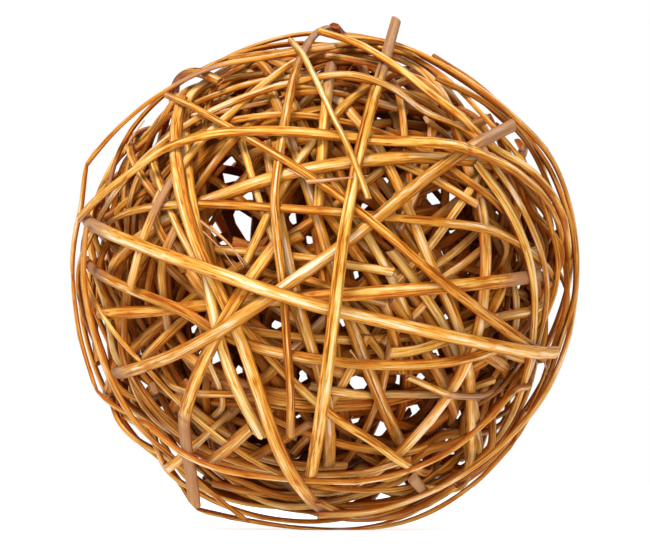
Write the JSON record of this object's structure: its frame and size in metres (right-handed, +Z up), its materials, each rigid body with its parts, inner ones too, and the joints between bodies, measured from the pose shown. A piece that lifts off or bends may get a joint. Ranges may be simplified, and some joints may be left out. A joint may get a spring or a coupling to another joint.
{
  "type": "woven willow ball",
  "caption": "Hollow ball woven loosely from split and round willow withies sprayed gold-bronze, with kinked hoops, cut ends and a small flat spot to rest on.",
  "frame": {"origin": "On the floor under the middle of the ball's box, level with its flat spot.", "axes": "+Z up, away from the flat spot; -Y is the front, where the widest withies cross; +X is to the right as seen from the front."},
  "size_m": [0.1996, 0.196, 0.2011],
  "materials": {
    "gold_bronze_light": "satin",
    "gold_bronze": "satin",
    "gold_bronze_dark": "satin"
  },
  "bodies": {
    "root": {"long_upright": "gold_bronze_light", "long_cross": "gold_bronze", "long_diagonal": "gold_bronze_dark", "high_arch": "gold_bronze_light", "wide_arch": "gold_bronze", "upper_cross": "gold_bronze_dark", "left_upright": "gold_bronze_light", "low_sash": "gold_bronze", "grooved_upright": "gold_bronze_dark", "thin_upright": "gold_bronze_light", "tapered_diagonal": "gold_bronze", "upper_arch": "gold_bronze_dark", "right_shoulder": "gold_bronze_light", "right_cross": "gold_bronze", "left_sash": "gold_bronze_dark", "low_diagonal": "gold_bronze_light", "right_upright": "gold_bronze", "low_hoop": "gold_bronze_dark", "node_stub": "gold_bronze_light", "left_hoop": "gold_bronze", "front_foot_hoop": "gold_bronze_dark", "back_foot_hoop": "gold_bronze_light", "right_hoop": "gold_bronze", "right_inner_hoop": "gold_bronze_dark", "right_kinked_hoop": "gold_bronze_light", "left_inner_hoop": "gold_bronze", "left_upright_inner": "gold_bronze_dark", "left_low_arc": "gold_bronze_light", "left_low_strand": "gold_bronze", "left_low_inner": "gold_bronze_dark", "left_high_strand": "gold_bronze_light", "crown_left": "gold_bronze", "crown_left_inner": "gold_bronze_dark", "crown_diagonal": "gold_bronze_light", "middle_rising": "gold_bronze", "middle_falling": "gold_bronze_dark", "middle_cross": "gold_bronze_light", "right_falling": "gold_bronze", "low_upright": "gold_bronze_dark", "kinked_twig": "gold_bronze_light", "right_flank_outer": "gold_bronze", "right_flank_inner": "gold_bronze_dark", "right_low_strand": "gold_bronze_light", "bottom_arc": "gold_bronze", "bottom_arc_short": "gold_bronze_dark", "crown_stub": "gold_bronze_light", "upper_slant": "gold_bronze", "back_withy_01": "gold_bronze_dark", "back_withy_02": "gold_bronze_light", "back_withy_03": "gold_bronze", "back_withy_04": "gold_bronze_dark", "back_withy_05": "gold_bronze_light", "back_withy_06": "gold_bronze", "back_withy_07": "gold_bronze_dark", "back_withy_08": "gold_bronze_light", "back_withy_09": "gold_bronze", "back_withy_10": "gold_bronze_dark", "back_withy_11": "gold_bronze_light", "back_withy_12": "gold_bronze", "back_withy_13": "gold_bronze_dark"}
  },
  "joints": []
}
